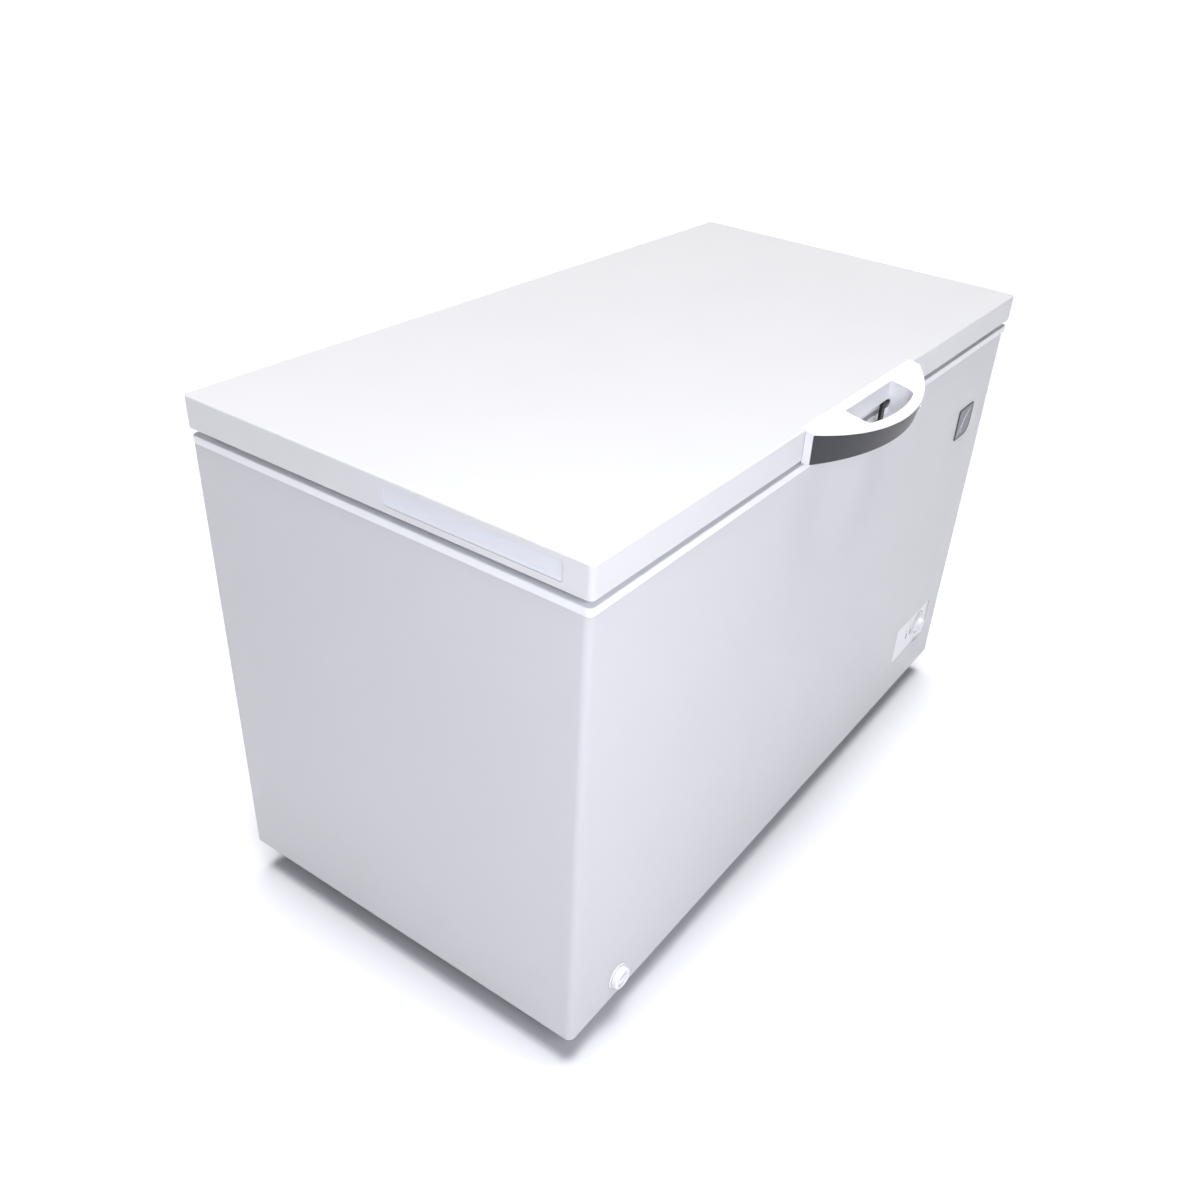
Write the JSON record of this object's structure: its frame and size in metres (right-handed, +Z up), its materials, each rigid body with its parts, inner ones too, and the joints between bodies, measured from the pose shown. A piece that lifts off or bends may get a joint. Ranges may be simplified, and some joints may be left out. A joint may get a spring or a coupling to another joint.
{
  "type": "chest freezer",
  "caption": "Chest freezer with a flat foam lid on spring hinges, bowed lid handle, dial panel, drain cap and swivel casters.",
  "frame": {"origin": "on the floor under the middle of the bounding box", "axes": "+X to the right end seen from the front, +Y to the back, +Z up"},
  "size_m": [1.29, 0.7574, 0.845],
  "materials": {
    "painted_steel": "satin",
    "white_plastic": "satin",
    "grey_plastic": "satin",
    "charcoal_plastic": "satin",
    "black_plastic": "satin",
    "smoked_lens": "gloss",
    "gasket": "matte",
    "foam": "matte",
    "liner_sheet": "satin",
    "zinc_steel": "satin",
    "copper": "satin",
    "black_steel": "satin",
    "wheel_tyre": "matte"
  },
  "bodies": {
    "cabinet": {"outer_wrapper": "painted_steel", "top_collar": "white_plastic", "side_vent_grille": "white_plastic", "control_panel": "white_plastic", "drain_bezel": "white_plastic", "drain_tube": "grey_plastic", "thermostat_body": "grey_plastic", "badge_plate": "charcoal_plastic", "start_relay_box": "black_plastic", "cord_gland": "black_plastic", "lock_catch": "black_plastic", "power_lamp": "smoked_lens", "run_lamp": "smoked_lens", "body_foam": "foam", "inner_liner": "liner_sheet", "liner_floor": "liner_sheet", "back_panel": "zinc_steel", "base_pan": "zinc_steel", "compartment_shell": "zinc_steel", "hinge_body_bracket_left": "zinc_steel", "hinge_pin_left": "zinc_steel", "hinge_spring_left": "zinc_steel", "hinge_body_bracket_right": "zinc_steel", "hinge_pin_right": "zinc_steel", "hinge_spring_right": "zinc_steel", "caster_plate_front_left": "zinc_steel", "caster_plate_front_right": "zinc_steel", "caster_plate_rear_left": "zinc_steel", "caster_plate_rear_right": "zinc_steel", "evaporator_tube": "copper", "condenser_tube": "copper", "discharge_pipe": "copper", "suction_pipe": "copper", "compressor": "black_steel", "compressor_mount_plate": "black_steel", "compressor_cover": "black_steel"},
    "lid": {"lid_outer_panel": "painted_steel", "lid_side_insert_left": "white_plastic", "lid_side_insert_right": "white_plastic", "lid_foam": "foam", "lid_inner_panel": "white_plastic", "lid_gasket": "gasket", "handle_body": "white_plastic", "handle_fascia": "charcoal_plastic", "lock_barrel": "zinc_steel", "hinge_lid_bracket_left": "zinc_steel", "hinge_lid_bracket_right": "zinc_steel"},
    "lock_cam": {"lock_cam": "zinc_steel"},
    "thermostat_knob": {"thermostat_knob": "white_plastic"},
    "drain_cap": {"drain_cap": "white_plastic"},
    "drain_stopper": {"drain_stopper": "grey_plastic"},
    "basket": {"wire_basket": "painted_steel"},
    "swivel_front_left": {"caster_fork_front_left": "zinc_steel"},
    "wheel_front_left": {"caster_wheel_front_left": "wheel_tyre"},
    "swivel_front_right": {"caster_fork_front_right": "zinc_steel"},
    "wheel_front_right": {"caster_wheel_front_right": "wheel_tyre"},
    "swivel_rear_left": {"caster_fork_rear_left": "zinc_steel"},
    "wheel_rear_left": {"caster_wheel_rear_left": "wheel_tyre"},
    "swivel_rear_right": {"caster_fork_rear_right": "zinc_steel"},
    "wheel_rear_right": {"caster_wheel_rear_right": "wheel_tyre"}
  },
  "joints": [
    {"name": "lid_hinge", "type": "hinge", "parent": "cabinet", "child": "lid", "pos_m": [0, 0.36725, 0.8043], "axis": [-1, 0, 0], "range_deg": [0, 80]},
    {"name": "lock_cam_turn", "type": "hinge", "parent": "lid", "child": "lock_cam", "pos_m": [0.106, -0.3125, 0.807], "axis": [0, 1, 0], "range_deg": [0, 90]},
    {"name": "thermostat_turn", "type": "hinge", "parent": "cabinet", "child": "thermostat_knob", "pos_m": [0.5375, -0.29895, 0.1755], "axis": [0, 1, 0], "range_deg": [0, 270]},
    {"name": "drain_cap_pull", "type": "slide", "parent": "cabinet", "child": "drain_cap", "axis": [0, -1, 0], "range_m": [0, 0.03]},
    {"name": "drain_stopper_pull", "type": "slide", "parent": "cabinet", "child": "drain_stopper", "axis": [0, 0, 1], "range_m": [0, 0.03]},
    {"name": "basket_slide", "type": "slide", "parent": "cabinet", "child": "basket", "axis": [1, 0, 0], "range_m": [0, 0.89]},
    {"name": "swivel_turn_front_left", "type": "hinge", "parent": "cabinet", "child": "swivel_front_left", "pos_m": [-0.545, -0.205, 0.05], "axis": [0, 0, 1], "continuous": true},
    {"name": "wheel_spin_front_left", "type": "hinge", "parent": "swivel_front_left", "child": "wheel_front_left", "pos_m": [-0.531, -0.205, 0.02], "axis": [0, 1, 0], "continuous": true},
    {"name": "swivel_turn_front_right", "type": "hinge", "parent": "cabinet", "child": "swivel_front_right", "pos_m": [0.545, -0.205, 0.05], "axis": [0, 0, 1], "continuous": true},
    {"name": "wheel_spin_front_right", "type": "hinge", "parent": "swivel_front_right", "child": "wheel_front_right", "pos_m": [0.559, -0.205, 0.02], "axis": [0, 1, 0], "continuous": true},
    {"name": "swivel_turn_rear_left", "type": "hinge", "parent": "cabinet", "child": "swivel_rear_left", "pos_m": [-0.545, 0.255, 0.05], "axis": [0, 0, 1], "continuous": true},
    {"name": "wheel_spin_rear_left", "type": "hinge", "parent": "swivel_rear_left", "child": "wheel_rear_left", "pos_m": [-0.531, 0.255, 0.02], "axis": [0, 1, 0], "continuous": true},
    {"name": "swivel_turn_rear_right", "type": "hinge", "parent": "cabinet", "child": "swivel_rear_right", "pos_m": [0.545, 0.255, 0.05], "axis": [0, 0, 1], "continuous": true},
    {"name": "wheel_spin_rear_right", "type": "hinge", "parent": "swivel_rear_right", "child": "wheel_rear_right", "pos_m": [0.559, 0.255, 0.02], "axis": [0, 1, 0], "continuous": true}
  ]
}
